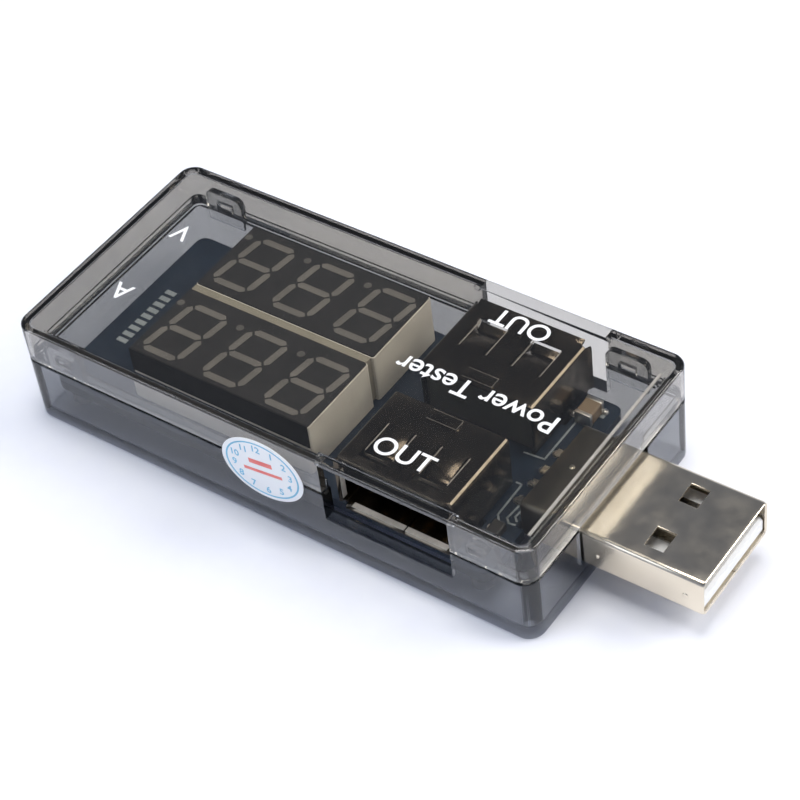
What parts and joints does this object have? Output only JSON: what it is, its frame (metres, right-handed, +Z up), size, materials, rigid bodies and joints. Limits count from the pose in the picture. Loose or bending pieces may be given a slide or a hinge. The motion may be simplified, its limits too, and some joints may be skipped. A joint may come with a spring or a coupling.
{
  "type": "usb power meter",
  "caption": "Stick-shaped in-line USB power meter in a clear smoky case: a USB plug at one end, a USB socket in each long side and two LED number displays under the top.",
  "frame": {"origin": "under the middle of the whole meter, plug included, on the surface it lies on", "axes": "+X out of the plug along the case, -Y towards the wall with the oval label, +Z up out of the face that shows the displays"},
  "size_m": [0.075, 0.0291, 0.0128],
  "materials": {
    "smoky_plastic": "clear smoky grey, glossy",
    "board_lacquer": "dark blue solder mask, satin",
    "cream_plastic": "cream, matt",
    "dark_face_film": "near-black, satin",
    "nickel_sheet": "nickel-plated steel sheet, slightly brushed",
    "white_plastic": "white, matt",
    "black_plastic": "black, matt",
    "gold_contact": "gold-plated, bright",
    "tan_ceramic": "tan, matt",
    "paper_label": "white paper, satin"
  },
  "bodies": {
    "root": {"lower_case": "smoky_plastic", "upper_cover": "smoky_plastic", "circuit_board": "board_lacquer", "volt_display_housing": "cream_plastic", "volt_display_face": "dark_face_film", "amp_display_housing": "cream_plastic", "amp_display_face": "dark_face_film", "plug_shell": "nickel_sheet", "plug_insulator": "white_plastic", "plug_contact_1": "gold_contact", "plug_contact_2": "gold_contact", "plug_contact_3": "gold_contact", "plug_contact_4": "gold_contact", "near_socket_shell": "nickel_sheet", "near_socket_insulator": "black_plastic", "near_socket_contact_1": "gold_contact", "near_socket_contact_2": "gold_contact", "near_socket_contact_3": "gold_contact", "near_socket_contact_4": "gold_contact", "far_socket_shell": "nickel_sheet", "far_socket_insulator": "black_plastic", "far_socket_contact_1": "gold_contact", "far_socket_contact_2": "gold_contact", "far_socket_contact_3": "gold_contact", "far_socket_contact_4": "gold_contact", "controller_chip": "black_plastic", "voltage_regulator": "black_plastic", "shunt_resistor": "black_plastic", "status_transistor": "black_plastic", "tan_capacitor": "tan_ceramic", "input_capacitor": "tan_ceramic", "output_capacitor": "tan_ceramic", "segment_resistor_1": "black_plastic", "segment_resistor_2": "black_plastic", "segment_resistor_3": "black_plastic", "segment_resistor_4": "black_plastic", "segment_resistor_5": "black_plastic", "segment_resistor_6": "black_plastic", "oval_label": "paper_label"}
  },
  "joints": []
}
